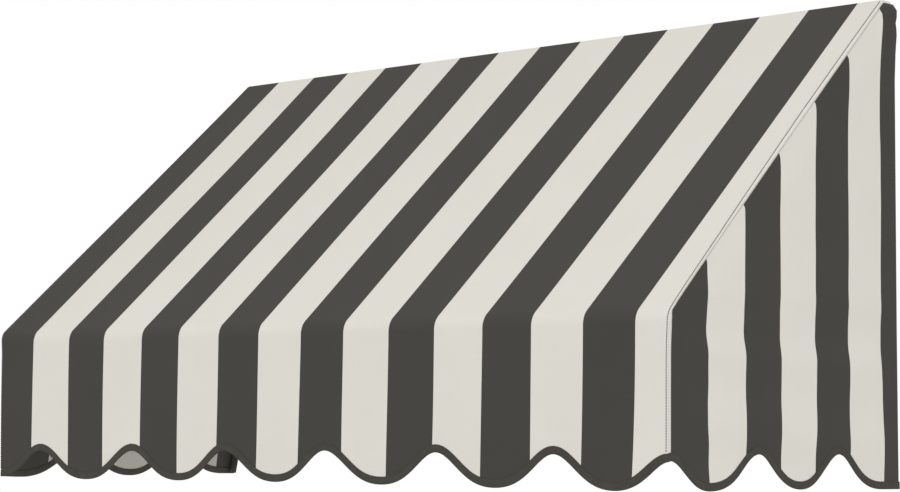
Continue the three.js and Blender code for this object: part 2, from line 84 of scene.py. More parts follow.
def edge_z(turns, s):
    """Height of the scalloped edge at each s."""
    s = np.asarray(s, float)
    z = np.where(s < turns[0][0], turns[0][1], turns[-1][1]).astype(float)
    for (a, za), (b, zb) in zip(turns, turns[1:]):
        m = (s >= a) & (s <= b)
        u = (s - a) / (b - a)
        hi, lo = (za, zb) if zb <= za else (zb, za)
        w = u if zb <= za else 1 - u
        g = w + SKEW * np.sin(np.pi * w)
        z = np.where(m, hi + (lo - hi) * (0.5 - 0.5 * np.cos(np.pi * g)), z)
    return z


# stripes: (start, end, dark) across the canopy, and along each side panel
FRONT_BOUNDS = [-LAP - 4, 88.5, 186.5, 280, 378.5, 471.5, 569, 663.5, 760.5, 854.5, 951.3, 1045.5, 1141.8, 1235.7, 1332, 1425.7, WIDTH + LAP + 4]
FRONT_STRIPES = [(a - HX, b - HX, i % 2 == 0) for i, (a, b) in enumerate(zip(FRONT_BOUNDS, FRONT_BOUNDS[1:]))]
SIDE_BOUNDS = [-PROJ - 2, -547.0, -448.5, -351.5, -250.0, -153.5, -54.0, 12.0]
LEFT_BOUNDS = [-PROJ - 2, -524.0, -446.0, -366.0, -262.0, -166.0, -55.0, 12.0]
SIDE_STRIPES = {k: [(a, b, i % 2 == 0) for i, (a, b) in enumerate(zip(v, v[1:]))] for k, v in ((1, SIDE_BOUNDS), (-1, LEFT_BOUNDS))}


def columns(stripes, a, b, step):
    """Column positions from a to b with one on every stripe edge, and whether each cell is dark."""
    xs, darks = [a], []
    for p, q, d in stripes:
        p, q = max(p, a), min(q, b)
        if q - p < 1e-6:
            continue
        n = max(1, int(round((q - p) / step)))
        for k in range(1, n + 1):
            xs.append(p + (q - p) * k / n)
            darks.append(d)
    return np.array(xs), np.array(darks, bool)


# ---- drape: how far the hanging cloth stands off its flat place ----------------
def hang(z):
    """0 at the bar, 1 at the lowest edge."""
    return np.clip((ARM_Z - 14 - z) / (ARM_Z - 14 - TROUGH), 0, 1)


def drape_front(x, z):
    """Out of the front plane, positive to the front, for the loose drop."""
    h = hang(z)
    w = h ** 1.15
    edge = smooth((HX - np.abs(x)) / 60.0)
    r = (2.3 + 1.3 * np.sin(x / 58.0 + 0.7 + 0.9 * h) + 0.9 * np.sin(x / 33.5 + 2.1 - 1.3 * h)
         + 0.8 * np.sin(x / 97.0 - 0.4) + 0.5 * np.sin(x / 19.0 + 4.0 * h))
    return w * edge * r


def drape_side(y, z, seed):
    """Out of the side plane, positive outward: slack above and below the side arm, drawn in at the arm."""
    y, z = np.asarray(y, float), np.asarray(z, float)
    f = z - EAVE_Z
    below = smooth((-10 - f) / 48.0) * smooth((y + PROJ) / 60.0)
    r_below = (4.4 + 1.5 * np.sin(2 * np.pi * (f + 102.5) / 110.0 + 0.004 * y) + 1.0 * np.sin(y / 41.0 + seed)
               + 0.6 * np.sin(y / 23.0 + 1.7 * seed + f / 60.0))
    d = (TOP_Z + (y + APEX_Y) * RISE / RUN - z) * SY
    above = smooth((f + 4) / 48.0) * smooth(d / 62.0)
    r_above = 3.2 + 0.9 * np.sin(f / 31.0 + seed) + 0.6 * np.sin(y / 45.0 + f / 80.0 + 2 * seed)
    at_arm = 2.4 * np.exp(-((f + 2) / 26.0) ** 2) * smooth((y + PROJ) / 60.0) * (1 - smooth((y + 330.0) / 200.0))
    return below * r_below + above * r_above + at_arm


def swing_left(y, z):
    """The loose lower part of the left panel swings out towards the wall."""
    y, z = np.asarray(y, float), np.asarray(z, float)
    t = np.clip((-508.0 - z) / (-508.0 - TROUGH), 0, 1)
    return 46.0 * np.clip((y + PROJ) / PROJ, 0, 1) * 1.12 * t * t / (t + 0.12)


def hang_in(x, z):
    """Sideways hang of the front drop: its left end leans in at the bottom, and so does the last stripe but one."""
    x, h = np.asarray(x, float) + HX, hang(z)
    tuck = 2.3 * smooth((EAVE_Z + 6.0 - z) / 40.0) * (1 - smooth(x / 60.0))
    return tuck + np.interp(x, [0, 330, 430, 540], [5.0, 6.4, 6.0, 0.0]) * h ** 1.6 - np.interp(x, [1200, 1310, 1430, WIDTH], [0.0, 3.6, 3.6, 0.0]) * h ** 3


def shoulder(y, z):
    """The cover stands out a little at the right front corner, just under the eave."""
    return 1.6 * np.exp(-((z - EAVE_Z + 8.0) / 28.0) ** 2) * smooth((-y - PROJ + 70.0) / 70.0)


def bow(x, v):
    """The stripes bow to the right by a few millimetres in the upper half of the slope."""
    return 2.8 * np.exp(-((v - 0.68) / 0.22) ** 2) * smooth((350.0 - x) / 250.0) * smooth((x + HX) / 60.0)


# how the stripes wander on the right panel: height and shift towards the wall at the turning points of each stripe edge
DRIFT = {-547.0: [(-700, 5), (-670, 6), (-640, -1.2), (-610, -0.8), (-580, 4.5), (-520, -1.4), (-400, 5.6)],
         -448.5: [(-700, 2), (-670, 3.3), (-640, 0.9), (-580, 3.8), (-520, -1.0), (-430, 1.4), (-340, 6.5)],
         -351.5: [(-700, 3), (-670, 1.2), (-640, 1.1), (-580, 5.8), (-550, 2.6), (-460, 0.1), (-370, 2.5), (-310, 0.9), (-280, 2.1), (-250, 6.6)],
         -250.0: [(-700, -3), (-670, -5.1), (-610, -0.1), (-580, -0.8), (-550, -4.4), (-490, 0), (-430, -2.4), (-370, 1.9), (-250, -0.3), (-220, 1.5), (-160, 8)],
         -153.5: [(-700, 1), (-640, -1.2), (-610, 2.3), (-580, 1.7), (-550, -1.6), (-520, -1), (-490, 2.2), (-430, -1.5), (-370, 2.4), (-340, 2.1),
                  (-250, -2.8), (-130, 2.8), (-70, 8.3)],
         -54.0: [(-700, 3.7), (-670, 1.3), (-610, 3.7), (-550, -4.2), (-490, 0.7), (-430, -4.7), (-340, -1.4), (-250, -3.1), (-190, 0.5), (-70, -2.4),
                 (-40, -1.4), (20, 5.3)]}


def drift(y, z):
    """Shift of the right panel's cloth towards the wall on the column at y."""
    at = [-PROJ] + list(DRIFT) + [-17.0]
    j = min(max(int(np.searchsorted(at, y)) - 1, 0), len(at) - 2)
    w = (y - at[j]) / (at[j + 1] - at[j])
    ends = []
    for k in at[j:j + 2]:
        zs, ds = zip(*DRIFT.get(k, [(0, 0)]))
        ends.append(sum(np.interp(z + d, zs, ds) for d in np.linspace(-12, 12, 9)) / 9)
    return ends[0] * (1 - w) + ends[1] * w


def leftness(x):
    return 0.5 * np.clip((300.0 - x) / (300.0 + HX), 0, 1) + 0.5 * smooth((60.0 - HX - x) / 60.0)


def sag_slope(x, v):
    """Inward normal shift of the slope; v from 0 at the eave to 1 at the head. The bays hollow a little
    between the rafters, and the cloth stands up a little over the left end of the front bar."""
    v = np.clip(v, 0, 1)
    hollow = 2.0 * np.sin(np.pi * v) ** 0.8 * np.abs(np.sin(np.pi * x / HX)) ** 1.3
    return hollow - 4.6 * leftness(x) * (1 - v) ** 1.2


# ---- materials -------------------------------------------------------------------
def new_mat(name):
    m = bpy.data.materials.new(name)
    m.use_nodes = True
    nt = m.node_tree
    nt.nodes.clear()
    out = nt.nodes.new("ShaderNodeOutputMaterial")
    b = nt.nodes.new("ShaderNodeBsdfPrincipled")
    nt.links.new(b.outputs[0], out.inputs[0])
    return m, nt, b


def math_node(nt, op, a, b=None, clamp=False, c=None):
    n = nt.nodes.new("ShaderNodeMath")
    n.operation = op
    n.use_clamp = clamp
    for i, v in enumerate((a, b, c)):
        if v is None:
            continue
        if isinstance(v, (int, float)):
            n.inputs[i].default_value = v
        else:
            nt.links.new(v, n.inputs[i])
    return n.outputs[0]


def ramp(nt, fac, c0, c1, p0=0.0, p1=1.0):
    n = nt.nodes.new("ShaderNodeValToRGB")
    n.color_ramp.elements[0].position, n.color_ramp.elements[1].position = p0, p1
    n.color_ramp.elements[0].color = (*c0, 1)
    n.color_ramp.elements[1].color = (*c1, 1)
    nt.links.new(fac, n.inputs[0])
    return n.outputs[0]


def noise(nt, vec, scale, detail=3.0, rough=0.55):
    n = nt.nodes.new("ShaderNodeTexNoise")
    n.inputs["Scale"].default_value = scale
    n.inputs["Detail"].default_value = detail
    n.inputs["Roughness"].default_value = rough
    nt.links.new(vec, n.inputs["Vector"])
    return n.outputs[0]


def canvas(name, colour, spread, pitch=1.15, sheen=0.08, rough=0.92):
    """Plain-woven canvas. The UV map holds the cloth's own flat coordinates in metres."""
    m, nt, b = new_mat(name)
    uv = nt.nodes.new("ShaderNodeUVMap")
    uv.uv_map = "cloth"
    sep = nt.nodes.new("ShaderNodeSeparateXYZ")
    nt.links.new(uv.outputs[0], sep.inputs[0])
    k = 2 * math.pi / (pitch * MM)
    su = math_node(nt, "SINE", math_node(nt, "MULTIPLY", sep.outputs[0], k))
    sv = math_node(nt, "SINE", math_node(nt, "MULTIPLY", sep.outputs[1], k))
    weave = math_node(nt, "MULTIPLY", su, sv)                       # over and under
    slub_u = nt.nodes.new("ShaderNodeMapping")
    slub_u.inputs["Scale"].default_value = (900, 14, 1)
    nt.links.new(uv.outputs[0], slub_u.inputs[0])
    slub_v = nt.nodes.new("ShaderNodeMapping")
    slub_v.inputs["Scale"].default_value = (14, 900, 1)
    nt.links.new(uv.outputs[0], slub_v.inputs[0])
    yarn = math_node(nt, "ADD", noise(nt, slub_u.outputs[0], 1.0, 1.0), noise(nt, slub_v.outputs[0], 1.0, 1.0))
    cloud = noise(nt, uv.outputs[0], 7.0, 4.0)
    fac = math_node(nt, "ADD", math_node(nt, "MULTIPLY", yarn, 0.32), math_node(nt, "MULTIPLY", cloud, 0.36))
    fac = math_node(nt, "ADD", fac, math_node(nt, "MULTIPLY", weave, 0.10))
    lo = tuple(c * (1 - spread) for c in colour)
    hi = tuple(min(1, c * (1 + spread)) for c in colour)
    nt.links.new(ramp(nt, fac, lo, hi, 0.25, 0.75), b.inputs["Base Color"])
    b.inputs["Roughness"].default_value = rough
    b.inputs["Specular IOR Level"].default_value = 0.25
    b.inputs["Sheen Weight"].default_value = sheen
    b.inputs["Sheen Roughness"].default_value = 0.5
    bump = nt.nodes.new("ShaderNodeBump")
    bump.inputs["Strength"].default_value = 0.22
    bump.inputs["Distance"].default_value = 0.0004
    nt.links.new(math_node(nt, "ADD", math_node(nt, "MULTIPLY", weave, 0.5), math_node(nt, "MULTIPLY", yarn, 0.5)), bump.inputs["Height"])
    nt.links.new(bump.outputs[0], b.inputs["Normal"])
    return m


def tape(name, colour):
    """Binding tape: fine twill across its length."""
    m, nt, b = new_mat(name)
    uv = nt.nodes.new("ShaderNodeUVMap")
    uv.uv_map = "cloth"
    sep = nt.nodes.new("ShaderNodeSeparateXYZ")
    nt.links.new(uv.outputs[0], sep.inputs[0])
    diag = math_node(nt, "ADD", sep.outputs[0], sep.outputs[1])
    twill = math_node(nt, "SINE", math_node(nt, "MULTIPLY", diag, 2 * math.pi / (1.3 * MM)))
    cloud = noise(nt, uv.outputs[0], 60.0, 3.0)
    fac = math_node(nt, "ADD", math_node(nt, "MULTIPLY", twill, 0.16), cloud)
    lo, hi = tuple(c * 0.85 for c in colour), tuple(c * 1.15 for c in colour)
    nt.links.new(ramp(nt, fac, lo, hi, 0.2, 0.8), b.inputs["Base Color"])
    b.inputs["Roughness"].default_value = 0.88
    b.inputs["Specular IOR Level"].default_value = 0.25
    bump = nt.nodes.new("ShaderNodeBump")
    bump.inputs["Strength"].default_value = 0.3
    bump.inputs["Distance"].default_value = 0.0004
    nt.links.new(twill, bump.inputs["Height"])
    nt.links.new(bump.outputs[0], b.inputs["Normal"])
    return m


def thread(name, colour):
    m, nt, b = new_mat(name)
    g = nt.nodes.new("ShaderNodeTexCoord")
    n = noise(nt, g.outputs["Object"], 900.0, 2.0)
    nt.links.new(ramp(nt, n, tuple(c * 0.8 for c in colour), tuple(c * 1.2 for c in colour), 0.3, 0.7), b.inputs["Base Color"])
    b.inputs["Roughness"].default_value = 0.6
    return m


def metal(name, colour, rough, grain=(3, 220, 220), metallic=1.0, bump_mm=0.03, fleck=0.10):
    """Drawn or plated metal: grain runs along the piece, with faint handling marks."""
    m, nt, b = new_mat(name)
    g = nt.nodes.new("ShaderNodeTexCoord")
    mp = nt.nodes.new("ShaderNodeMapping")
    mp.inputs["Scale"].default_value = grain
    nt.links.new(g.outputs["Object"], mp.inputs[0])
    line = noise(nt, mp.outputs[0], 4.0, 4.0)
    cloud = noise(nt, g.outputs["Object"], 22.0, 4.0)
    mixf = math_node(nt, "ADD", math_node(nt, "MULTIPLY", line, 0.5), math_node(nt, "MULTIPLY", cloud, 0.5))
    nt.links.new(ramp(nt, mixf, tuple(c * (1 - fleck) for c in colour), tuple(min(1, c * (1 + fleck)) for c in colour), 0.3, 0.7), b.inputs["Base Color"])
    b.inputs["Metallic"].default_value = metallic
    r = math_node(nt, "ADD", math_node(nt, "MULTIPLY", mixf, 0.22), rough - 0.11, True)
    nt.links.new(r, b.inputs["Roughness"])
    bump = nt.nodes.new("ShaderNodeBump")
    bump.inputs["Strength"].default_value = 0.25
    bump.inputs["Distance"].default_value = bump_mm * MM
    nt.links.new(line, bump.inputs["Height"])
    nt.links.new(bump.outputs[0], b.inputs["Normal"])
    return m


def coated(name, colour, rough, scale, bump_mm, strength=0.35):
    """Powder coat or moulded plastic: fine orange-peel texture."""
    m, nt, b = new_mat(name)
    g = nt.nodes.new("ShaderNodeTexCoord")
    peel = noise(nt, g.outputs["Object"], scale, 3.0)
    cloud = noise(nt, g.outputs["Object"], 30.0, 3.0)
    nt.links.new(ramp(nt, cloud, tuple(c * 0.9 for c in colour), tuple(min(1, c * 1.1) for c in colour), 0.3, 0.7), b.inputs["Base Color"])
    nt.links.new(math_node(nt, "ADD", math_node(nt, "MULTIPLY", peel, 0.2), rough - 0.1, True), b.inputs["Roughness"])
    bump = nt.nodes.new("ShaderNodeBump")
    bump.inputs["Strength"].default_value = strength
    bump.inputs["Distance"].default_value = bump_mm * MM
    nt.links.new(peel, bump.inputs["Height"])
    nt.links.new(bump.outputs[0], b.inputs["Normal"])
    return m


DARK = canvas("canvas_dark", (0.0535, 0.0510, 0.0435), 0.10, sheen=0.02)
LIGHT = canvas("canvas_light", (0.716, 0.690, 0.632), 0.035, sheen=0.02)
# underside copies standing in for the light inside the cover: painted shade darkens the light stripes, and painted fill
# light lightens the dark stripes and the tape's inner leg
DARK_IN_PAINTED_FILL = canvas("canvas_dark_under_painted_fill", (0.0780, 0.0750, 0.0640), 0.10, sheen=0.02)
LIGHT_IN_PAINTED_SHADE = canvas("canvas_light_under_painted_shade", (0.655, 0.632, 0.580), 0.035, sheen=0.02)
TAPE = tape("tape_dark", (0.0570, 0.0545, 0.0440))
TAPE_IN_PAINTED_FILL = tape("tape_dark_under_painted_fill", (0.0840, 0.0805, 0.0655))
THREAD = thread("thread_grey", (0.24, 0.232, 0.21))
THREAD_D = thread("thread_dark", (0.040, 0.038, 0.034))


# ---- mesh helpers -------------------------------------------------------------------
def make(name, verts, faces, mats, index=None, uvs=None, smooth=True):
    me = bpy.data.meshes.new(name)
    me.from_pydata((np.asarray(verts) * MM).tolist(), [], [list(map(int, f)) for f in faces])
    for m in mats:
        me.materials.append(m)
    if index is not None:
        me.polygons.foreach_set("material_index", np.asarray(index, np.int32))
    if uvs is not None:
        layer = me.uv_layers.new(name="cloth")
        loops = np.zeros(len(me.loops), np.int32)
        me.loops.foreach_get("vertex_index", loops)
        layer.data.foreach_set("uv", (np.asarray(uvs)[loops] * MM).astype(np.float32).ravel())
    me.polygons.foreach_set("use_smooth", np.full(len(me.polygons), smooth))
    me.update()
    o = bpy.data.objects.new(name, me)
    bpy.context.scene.collection.objects.link(o)
    return o


def grid_normals(P):
    du = np.gradient(P, axis=0)
    dv = np.gradient(P, axis=1)
    n = np.cross(du, dv)
    return n / np.maximum(np.linalg.norm(n, axis=-1, keepdims=True), 1e-9)


def shell(P, UV, cell_dark, thick, flip=False):
    """Closed thin shell on a grid of outer points P[i, j]; returns verts, faces, material index, uvs."""
    nu, nv = P.shape[:2]
    N = grid_normals(P) * (-1 if flip else 1)
    Q = P - N * thick
    V = np.concatenate([P.reshape(-1, 3), Q.reshape(-1, 3)])
    U = np.concatenate([UV.reshape(-1, 2)] * 2)
    idx = np.arange(nu * nv).reshape(nu, nv)
    a, b, c, d = idx[:-1, :-1], idx[1:, :-1], idx[1:, 1:], idx[:-1, 1:]
    out = np.stack([a, b, c, d], -1).reshape(-1, 4)
    if flip:
        out = out[:, ::-1]
    inn = out[:, ::-1] + nu * nv
    m = np.repeat(np.where(cell_dark, 0, 1)[:, None], nv - 1, 1).reshape(-1)
    # inner faces take slots 2 and 3: the underside copies with painted shade on light stripes and painted fill light on
    # dark stripes
    faces, mi = [out, inn], [m, m + 2]
    off = nu * nv

    def rim(line, mm, rev):
        p, q = line[:-1], line[1:]
        f = np.stack([p, p + off, q + off, q], -1)
        faces.append(f[:, ::-1] if rev else f)
        mi.append(mm)
    col = np.where(cell_dark, 0, 1)
    rim(idx[:, 0], col, flip)
    rim(idx[:, -1], col, not flip)
    rim(idx[0, :], np.full(nv - 1, col[0]), not flip)
    rim(idx[-1, :], np.full(nv - 1, col[-1]), flip)
    return V, np.concatenate(faces), np.concatenate(mi), U


def area_of(P):
    a = np.linalg.norm(np.cross(P[1:, :-1] - P[:-1, :-1], P[1:, 1:] - P[:-1, :-1]), axis=-1) / 2
    b = np.linalg.norm(np.cross(P[1:, 1:] - P[:-1, :-1], P[:-1, 1:] - P[:-1, :-1]), axis=-1) / 2
    return float((a + b).sum()) * MM * MM


# ---- the canopy: front drop, eave bend, slope, head fold and rear hem in one sheet ------
def arc(p, d1, d2, r, n):
    """Points and normals round a corner p between unit directions d1 and d2."""
    turn = math.acos(max(-1, min(1, d1[0] * d2[0] + d1[1] * d2[1])))
    t = r * math.tan(turn / 2)
    n1 = (-d1[1], d1[0])
    c = (p[0] - d1[0] * t - n1[0] * r, p[1] - d1[1] * t - n1[1] * r)
    a0 = math.atan2(n1[1], n1[0])
    out = []
    for k in range(n + 1):
        a = a0 - turn * k / n
        out.append((c[0] + r * math.cos(a), c[1] + r * math.sin(a), math.cos(a), math.sin(a)))
    return out


def lerp_rows(p, q, n, nrm):
    return [(p[0] + (q[0] - p[0]) * k / n, p[1] + (q[1] - p[1]) * k / n, *nrm) for k in range(1, n)]


bend = arc((-PROJ, EAVE_Z), (0, 1), (SY, SZ), EAVE_R, 12)
fold = arc((-APEX_Y, TOP_Z), (SY, SZ), (1, 0), HEAD_R, 5)
back = arc((REAR_Y, TOP_Z), (1, 0), (0, -1), 2.2, 6)
upper = bend + lerp_rows(bend[-1], fold[0], 64, (NY, NZ)) + fold + lerp_rows(fold[-1], back[0], 5, (0, 1)) + back
upper += lerp_rows(back[-1], (REAR_Y, HEM_Z), 5, (1, 0)) + [(REAR_Y, HEM_Z, 1, 0)]
upper = np.array(upper)
N_DROP = 34
N_SLOPE0 = len(bend) - 1           # first row of the slope inside upper

xs, darks = columns(FRONT_STRIPES, -HX + 2.0, HX - 2.0, 7.8)
fold_t = np.array([0.25, 0.5, 0.75, 1.0])
lap_q = np.array([0.25, 0.5, 0.75, 1.0])
rows_n = N_DROP + len(upper)
back_lap = [4.8 - (TOP_Z - p[1]) for p in back]
N_BACK = rows_n - 5 - len(back)      # first row of the rear top corner
BEND_LAP = np.interp(np.arange(len(bend)), [0, 6, len(bend) - 1], [LAP + 0.7, LAP, LAP_SLOPE])
LAP_W = np.concatenate([np.full(N_DROP, LAP + 0.7), BEND_LAP, np.full(61, LAP_SLOPE),
                        [5.2, 4.2], np.full(len(fold) + 4, 4.8), back_lap, np.full(rows_n, 1.2)])[:rows_n]


def slope_v(m, first):
    """Place on the slope for m profile rows whose bend starts at row first, and how far the slope's shift applies."""
    v, on = np.ones(m), np.zeros(m)
    lo = first + N_SLOPE0
    k = np.arange(m)
    v = np.clip((k - lo) / 64.0, 0, 1)
    on = smooth((k - first) / N_SLOPE0)
    return v, on


def canopy_column(x, lap):
    """Outer points of one column. lap None: on the face at x; else (side, turn 0..1, distance down the side)."""
    sd = 1 if x > 0 else -1
    spread = smooth((abs(x) - (HX - 46.0)) / 46.0) if sd > 0 else smooth((abs(x) - (HX - 88.0)) / 88.0)
    at = x + sd * FLARE[sd] * spread if lap is None else lap[0] * (HX + FLARE[lap[0]])
    at += float(hang_in(at, edge_z(FRONT_TURNS, [at])[0]))
    zb = float(edge_z(FRONT_TURNS, [at])[0]) + 1.6
    z0 = bend[0][1]
    drop = np.array([(-PROJ, zb + (z0 - zb) * k / N_DROP, -1.0, 0.0) for k in range(N_DROP)])
    prof = np.vstack([drop, upper])
    P = np.zeros((len(prof), 3))
    n = prof[:, 2:4]
    v, on = slope_v(len(prof), N_DROP)
    if lap is None:
        # the last stripe widens with the flare of the right side
        P[:, 0] = x + sd * flare(prof[:, 0], sd) * spread + bow(x, v) * on
        if sd > 0:
            P[:, 0] += shoulder(prof[:, 0], prof[:, 1]) * spread
        P[:, 1:] = prof[:, :2] - n * (on * sag_slope(np.full(len(prof), x), v))[:, None]
    else:
        side, t, q = lap
        r = 2.0
        a = t * math.pi / 2
        P[:, 0] = side * (HX - r + r * math.sin(a) + flare(prof[:, 0], side) - 0.15 * q)
        if side > 0:
            P[:, 0] += shoulder(prof[:, 0], prof[:, 1])
        # the lap is sewn down the slope and the corner only, and tapers to nothing at the head
        depth = r * (1 - math.cos(a)) + q * (LAP_W - r)
        down = n.copy()
        down[N_BACK:N_BACK + len(back)] = (0.0, 1.0)          # at the rear top corner the lap hangs straight down
        P[:, 1:] = prof[:, :2] - down * np.minimum(depth, LAP_W)[:, None] - n * (on * sag_slope(np.full(len(prof), side * HX), v))[:, None]
    P[:, 0] += hang_in(x, P[:, 2])
    # the head stands up a little at the right end
    P[:, 2] += 1.2 * smooth((x - HX + 350.0) / 350.0) * smooth(v) * on * np.clip(n[:, 1], 0, 1)
    dr = drape_front(np.full(len(prof), min(max(x, -HX), HX)), P[:, 2])
    P[:, 1] -= np.where(np.arange(len(prof)) < N_DROP, dr, 0)
    return P


cols, cu, cdark = [], [], []
for q in lap_q[::-1]:
    cols.append(canopy_column(-HX, (-1, 1.0, q))); cu.append(-HX - q * LAP)
for t in fold_t[::-1]:
    cols.append(canopy_column(-HX, (-1, t, 0.0))); cu.append(-HX + 2 - 2 * t)
cdark += [darks[0]] * (len(cols))
for x in xs:
    cols.append(canopy_column(x, None)); cu.append(x)
cdark += list(darks)
for t in fold_t:
    cols.append(canopy_column(HX, (1, t, 0.0))); cu.append(HX - 2 + 2 * t)
for q in lap_q:
    cols.append(canopy_column(HX, (1, 1.0, q))); cu.append(HX + q * LAP)
cdark += [darks[-1]] * (len(fold_t) + len(lap_q))
P = np.stack(cols)
UV = np.zeros(P.shape[:2] + (2,))
UV[..., 0] = np.array(cu)[:, None]
run_up = np.cumsum(np.linalg.norm(np.diff(P[:, :, 1:], axis=1), axis=-1), axis=1)
UV[:, 1:, 1] = run_up
UV[..., 1] -= run_up[:, -1:]
V, F, MI, U = shell(P, UV, np.array(cdark[:len(P) - 1]), T)
canopy = make("canopy_cloth", V, F, [DARK, LIGHT, DARK_IN_PAINTED_FILL, LIGHT_IN_PAINTED_SHADE], MI, U)
CANOPY_P = P
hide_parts("canopy_cover")
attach(canopy, "root")


# ---- side panels -----------------------------------------------------------------------
def soft_interp(z, zs, vs):
    """Linear interpolation with its corners rounded over 6 mm."""
    return sum(np.interp(np.asarray(z, float) + d, zs, vs) for d in np.linspace(-3, 3, 7)) / 7


def rear_y(z):
    """The rolled rear hem, with the gather at the head."""
    return soft_interp(z, [-760, -600, -75, 5, 19, 25, 30, 38, 45, 52], [-1.2, -1.4, -3.0, -1.0, -2.4, -3.6, -0.6, -0.1, -1.4, -4.6])


def rear_out(z):
    """How far the rear hem stands out past the panel."""
    return soft_interp(z, [-760, -500, -75, -30, 2, 16, 25, 33, 41, 46, 52], [3.0, 1.4, 2.0, 3.6, 6.4, 5.4, 4.0, 8.6, 6.6, 0.2, 0.0])


def panel_top(y):
    """Height of the canvas line over the side panel at y, a little inside the canopy."""
    pts = np.array([(p[0] - p[2] * (T + 0.25), p[1] - p[3] * (T + 0.25)) for p in upper[:len(bend) + 64 + len(fold) + 4]])
    return np.interp(y, pts[:, 0], pts[:, 1])


REAR_U = [0.0, 0.35, 0.65, 0.85, 0.96, 1.0]        # across the rolled hem, and how far it has turned in there
REAR_IN = [0.0, 0.0, 0.05, 0.45, 1.2, 2.2]


def from_wall(y, z, side):
    """On the left the loose lower part has swung away from the wall as well as out: shift along the panel."""
    if side > 0:
        return 0.0 * y
    return -22.0 * smooth((-560.0 - z) / 120.0) * smooth((np.asarray(y, float) + 200.0) / 183.0)


def panel_x(y, z, side):
    """Outer face of a side panel at y, z, as a distance from the middle; y as laid, before from_wall."""
    y, z = np.broadcast_arrays(np.asarray(y, float), np.asarray(z, float))
    edge = smooth((y + 60.0) / 43.0)
    x = PANEL_X + drape_side(y, z, 0.6 if side > 0 else 2.3) * (1 - edge) + flare(y, side)
    if side < 0:
        x = x + swing_left(np.minimum(y, -10.0), z) - hang_in(-HX, z) * (1 - smooth((y + PROJ) / 90.0))
    else:
        x = x + shoulder(y, z)
    u = np.clip((y + 17.0) / (rear_y(z) + 17.0), 0, 1)
    return x + rear_out(z) * edge * (1 - np.clip(u - 0.65, 0, 1)) - np.interp(u, REAR_U, REAR_IN)


def side_panel(name, side, turns):
    ys, dk = columns(SIDE_STRIPES[side], -PROJ + T + 0.3, -17.0, 7.8)
    n_row = 78
    cols, us, cd = [], [], []
    k = np.linspace(0, 1, n_row)
    for y in ys:
        zb = float(edge_z(turns, [y])[0]) + 1.6
        moved = float(drift(y, zb)) if side > 0 else float(from_wall(y, zb, side))
        zb = float(edge_z(turns, [y + moved])[0]) + 1.6
        zt = float(panel_top(y))
        z = zb + (zt - zb) * k
        P = np.zeros((n_row, 3))
        # the stripes lean to the wall near the head
        P[:, 1] = y + 6.5 * smooth((z + 115.0) / 150.0) * np.interp(y, [-250, -100, -45, -17], [0, 0.8, 1, 0]) * smooth((zt - z) / 16.0)
        if side > 0:
            P[:, 1] += drift(y, z) * smooth((zt - z) / 10.0)
        P[:, 0] = panel_x(P[:, 1], z, side)
        P[:, 1] += from_wall(y, z, side)
        P[:, 2] = z
        cols.append(P)
        us.append(y)
    cd += list(dk)
    # rear: the cloth runs past the upright in a rolled hem, and its end is clamped behind the upright
    zb = float(edge_z(turns, [-17.0 + float(from_wall(-17.0, TROUGH, side))])[0]) + 1.2
    z = zb + (TOP_Z - T - 1.2 - zb) * k
    ry, ro = rear_y(z), rear_out(z)
    sw = swing_left(np.full(n_row, -10.0), z) if side < 0 else np.zeros(n_row)
    for u in REAR_U[1:]:
        P = np.zeros((n_row, 3))
        P[:, 1] = -17.0 + (ry + 17.0) * u
        P[:, 0] = panel_x(P[:, 1], z, side)
        P[:, 1] += from_wall(P[:, 1], z, side)
        P[:, 2] = z
        cols.append(P)
        us.append(-17 + 16 * u)
        cd.append(dk[-1])
    for j, (xx, yy) in enumerate(((-3.2, -1.6), (-3.5, -5.0), (-3.6, -11.5), (-3.9, -14.6), (-5.5, -15.3), (-14.0, -15.35), (-22.0, -15.35))):
        P = np.zeros((n_row, 3))
        P[:, 0] = PANEL_X + xx + ro * max(0.0, 0.6 - 0.2 * j) + sw
        P[:, 1] = np.minimum(yy, ry - 0.8 - 0.6 * j) + from_wall(-10.0, z, side)
        P[:, 2] = np.minimum(z, TOP_Z - 3.0 - 0.3 * j)
        cols.append(P)
        us.append(-1 + 4 * j)
        cd.append(dk[-1])
    P = np.stack(cols)
    P[..., 0] *= side
    UV = np.zeros(P.shape[:2] + (2,))
    UV[..., 0] = np.array(us)[:, None]
    UV[..., 1] = P[..., 2]
    V, F, MI, U = shell(P, UV, np.array(cd), T, flip=side < 0)
    # the turned end behind the upright faces inwards, as the underside does, and takes the underside copies with their
    # painted fill light and painted shade
    cells = (P.shape[0] - 1) * (P.shape[1] - 1)
    MI[cells - 6 * (P.shape[1] - 1):cells] += 2
    o = make(name, V, F, [DARK, LIGHT, DARK_IN_PAINTED_FILL, LIGHT_IN_PAINTED_SHADE], MI, U)
    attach(o, "root")
    return o, area_of(P), P


side_r, area_r, P_R = side_panel("side_cloth_right", 1, RIGHT_TURNS)
side_l, area_l, P_L = side_panel("side_cloth_left", -1, LEFT_TURNS)
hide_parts("side_panel_right")
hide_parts("side_panel_left")


# ---- binding: one tape folded over the whole scalloped edge ----------------------------------
BIND = 12.3


